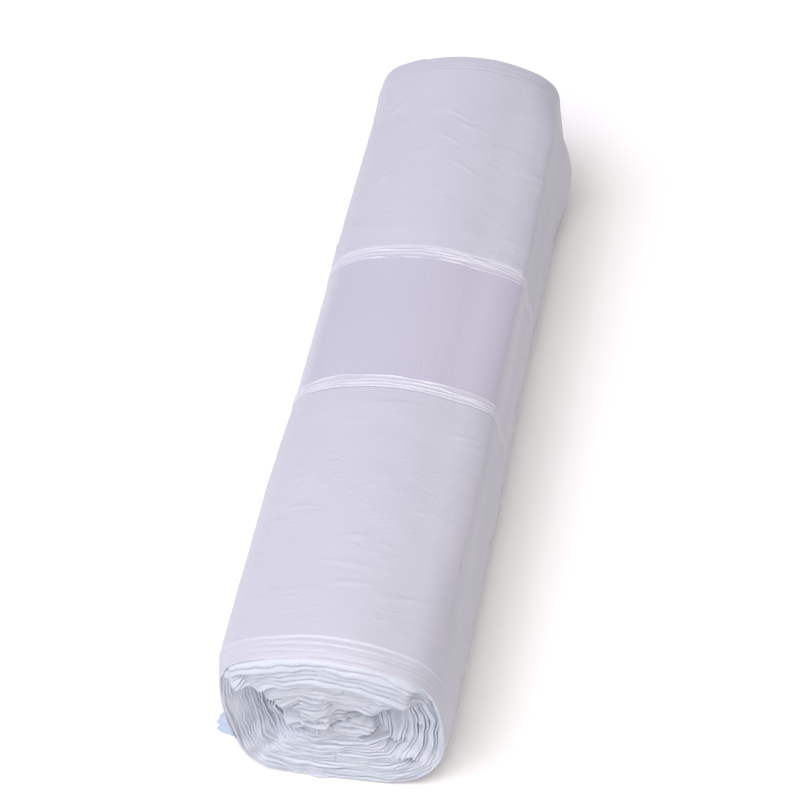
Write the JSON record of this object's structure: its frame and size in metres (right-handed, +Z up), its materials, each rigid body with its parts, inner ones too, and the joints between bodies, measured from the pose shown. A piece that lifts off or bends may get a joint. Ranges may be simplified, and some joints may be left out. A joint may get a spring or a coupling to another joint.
{
  "type": "bin bag roll",
  "caption": "Coreless roll of white film bin bags, squashed to a soft box section, with hollow wound ends and a stretch-film band round its waist.",
  "frame": {"origin": "below the middle of the roll, on the surface that it lies on", "axes": "+Y along the roll, away from its near end; +Z up; +X to the right seen from the near end"},
  "size_m": [0.069, 0.25, 0.06],
  "materials": {
    "bag_film": "thin white polythene film, satin, slightly milky",
    "band_film": "stretched clear film over white, smooth and slightly glossy"
  },
  "bodies": {
    "root": {"bag_roll": "bag_film", "wrap_band": "band_film"}
  },
  "joints": []
}
